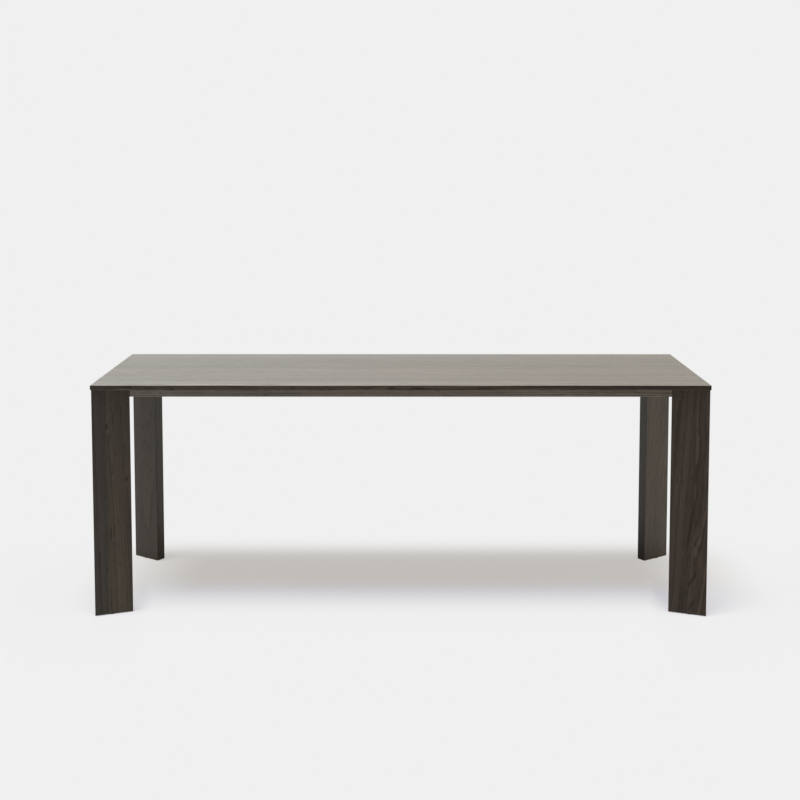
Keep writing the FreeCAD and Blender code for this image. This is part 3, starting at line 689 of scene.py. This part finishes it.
# --- Floor ---
# A wide pale floor with a glow of its own that keeps the shadow soft. The shadow is painted by place as
# well: deepest and warmest below the middle of the table, thinning to the back, and thinning and
# cooling to the front except at the feet.

FLOOR_RADIUS = 80.0
BACKGROUND = rgb(0.871, 0.871, 0.871)
FLOOR_MATT = rgb(0.82, 0.80, 0.765)
# Shading and glow colours that paint the shadow warm below the table and cooler to the front.
FLOOR_SHADED = rgb(0.413, 0.432, 0.460)
FLOOR_GLOW = rgb(0.475, 0.451, 0.422)
FRONT_SHADED = rgb(0.446, 0.445, 0.386)
FRONT_GLOW = rgb(0.4434, 0.4385, 0.4943)

# Places in Y, or across in X for the feet, between which the painted mask thins or cools the shadow.
THINS_TO_BACK = (0.35, 0.95)
THINS_TO_FRONT = (-0.75, 0.15)
KEPT_AT_FEET = (0.78, 0.90)
COOLS_TO_FRONT = (-0.25, 0.15)


def surface(nodes, kind, colour):
    """A shader of one kind and colour."""
    node = nodes.add(kind)
    nodes.join(colour, node.inputs["Color"])
    return node.outputs[0]


def either(nodes, choice, first, second):
    """The first shader where the choice is 0, and the second where it is 1."""
    node = nodes.add("ShaderNodeMixShader")
    nodes.join_in_order((choice, first, second), node.inputs)
    return node.outputs[0]


bpy.ops.object.select_all(action="DESELECT")
bpy.ops.mesh.primitive_circle_add(vertices=96, radius=FLOOR_RADIUS, fill_type="NGON")
floor = bpy.context.object
floor.name = "floor"

paint = Finish("pale floor")
paint.tree.nodes.remove(paint.shader)
across, away, _ = paint.apart(paint.place)
# A painted mask by place: how much of the cast shadow shows, and where it is tinted cooler.
behind = paint.step(away, THINS_TO_BACK, 1.0, 0.0)
ahead = paint.step(away, THINS_TO_FRONT)
at_feet = paint.step(paint.number("ABSOLUTE", across), KEPT_AT_FEET)
depth = paint.number("MULTIPLY", behind, paint.number("MAXIMUM", ahead, at_feet))
painted_cool_tint = paint.step(away, COOLS_TO_FRONT, 1.0, 0.0)
shaded_colour = paint.blend(depth, rgb(0, 0, 0), paint.blend(painted_cool_tint, FLOOR_SHADED, FRONT_SHADED))
glow_colour = paint.blend(depth, BACKGROUND, paint.blend(painted_cool_tint, FLOOR_GLOW, FRONT_GLOW))
glowing = paint.add("ShaderNodeAddShader")
paint.join(surface(paint, "ShaderNodeBsdfDiffuse", shaded_colour), glowing.inputs[0])
paint.join(surface(paint, "ShaderNodeEmission", glow_colour), glowing.inputs[1])

# The glow is for the eye alone. The table is lit by a plain matt floor, and from below the floor
# can be seen through.
seen = paint.add("ShaderNodeLightPath").outputs["Is Camera Ray"]
matt = surface(paint, "ShaderNodeBsdfDiffuse", FLOOR_MATT)
upper_side = either(paint, seen, matt, glowing.outputs[0])
from_below = paint.add("ShaderNodeNewGeometry").outputs["Backfacing"]
clear = paint.add("ShaderNodeBsdfTransparent").outputs[0]
one_sided = either(paint, from_below, upper_side, clear)
paint.join(one_sided, paint.tree.nodes["Material Output"].inputs["Surface"])
floor.data.materials.append(paint.material)


# --- Surroundings ---
# An even studio of the floor's own tone. Polished faces mirror a paler wall to the left and a darker
# one to the right, and a low soft light fills in from all sides.

FILL_COLOUR = rgb(1.0, 0.985, 0.96)
FILL_STRENGTH = 0.22

# What is mirrored, from left to right: the place, from 0 to 1, and the colour.
MIRRORED = (
    (0.25, rgb(0.886, 0.867, 0.845)),
    (0.42, rgb(0.978, 0.989, 0.946)),
    (0.58, rgb(0.826, 0.796, 0.741)),
    (0.75, rgb(0.886, 0.867, 0.845)),
)

world = bpy.data.worlds.new("studio")
bpy.context.scene.world = world
world.use_nodes = True
world.node_tree.nodes.clear()
studio = Nodes(world.node_tree)

fill = studio.add("ShaderNodeBackground")
studio.join(FILL_COLOUR, fill.inputs["Color"])
studio.join(FILL_STRENGTH, fill.inputs["Strength"])
backdrop = surface(studio, "ShaderNodeBackground", BACKGROUND)
direction = studio.apart(studio.add("ShaderNodeTexCoord").outputs["Generated"])
sideways = studio.add("ShaderNodeMapRange")
studio.join(direction["X"], sideways.inputs["Value"])
studio.join(-1.0, sideways.inputs["From Min"])
walls = studio.add("ShaderNodeValToRGB")
first_wall, last_wall = walls.color_ramp.elements
first_wall.position, first_wall.color = MIRRORED[0]
last_wall.position, last_wall.color = MIRRORED[-1]
for position, colour in MIRRORED[1:-1]:
    walls.color_ramp.elements.new(position).color = colour
studio.join(sideways.outputs[0], walls.inputs[0])
mirrored = surface(studio, "ShaderNodeBackground", walls.outputs[0])

path = studio.add("ShaderNodeLightPath").outputs
in_gloss = studio.number("MAXIMUM", path["Is Glossy Ray"], path["Is Transmission Ray"])
around = either(studio, in_gloss, fill.outputs[0], mirrored)
output = studio.add("ShaderNodeOutputWorld")
studio.join(either(studio, path["Is Camera Ray"], around, backdrop), output.inputs["Surface"])


# --- Lights ---
# One broad soft light overhead, a little to the front and left. Its size gives the shadow its soft
# edge.

OVERHEAD_PLACE = (-1.5, -3.0, 5.0)
OVERHEAD_TILT = (math.radians(16), math.radians(-5), 0)
OVERHEAD_WIDTH = math.radians(32)
OVERHEAD_STRENGTH = 2.55
OVERHEAD_COLOUR = (0.97, 0.985, 1.0)

bpy.ops.object.light_add(type="SUN", location=OVERHEAD_PLACE, rotation=OVERHEAD_TILT)
overhead = bpy.context.object
overhead.name = "overhead light"
overhead.data.angle = OVERHEAD_WIDTH
overhead.data.energy = OVERHEAD_STRENGTH
overhead.data.color = OVERHEAD_COLOUR


# --- Camera ---
# A long lens at standing eye height, in front of the table and a few degrees down, so that the far
# legs show just inside the near ones. Angles are in radians, lens and sensor in millimetres.

CAMERA_PLACE = (0.0113, -6.800, 1.5018)
CAMERA_DROP = 0.1245
CAMERA_TURN = 0.0021
LENS = 88.78
SENSOR_WIDTH = 36

camera_angles = (math.pi / 2 - CAMERA_DROP, 0, CAMERA_TURN)
bpy.ops.object.camera_add(location=CAMERA_PLACE, rotation=camera_angles)
camera = bpy.context.object
camera.data.sensor_fit = "HORIZONTAL"
camera.data.sensor_width = SENSOR_WIDTH
camera.data.lens = LENS
bpy.context.scene.camera = camera
bpy.context.scene.view_settings.view_transform = "Standard"
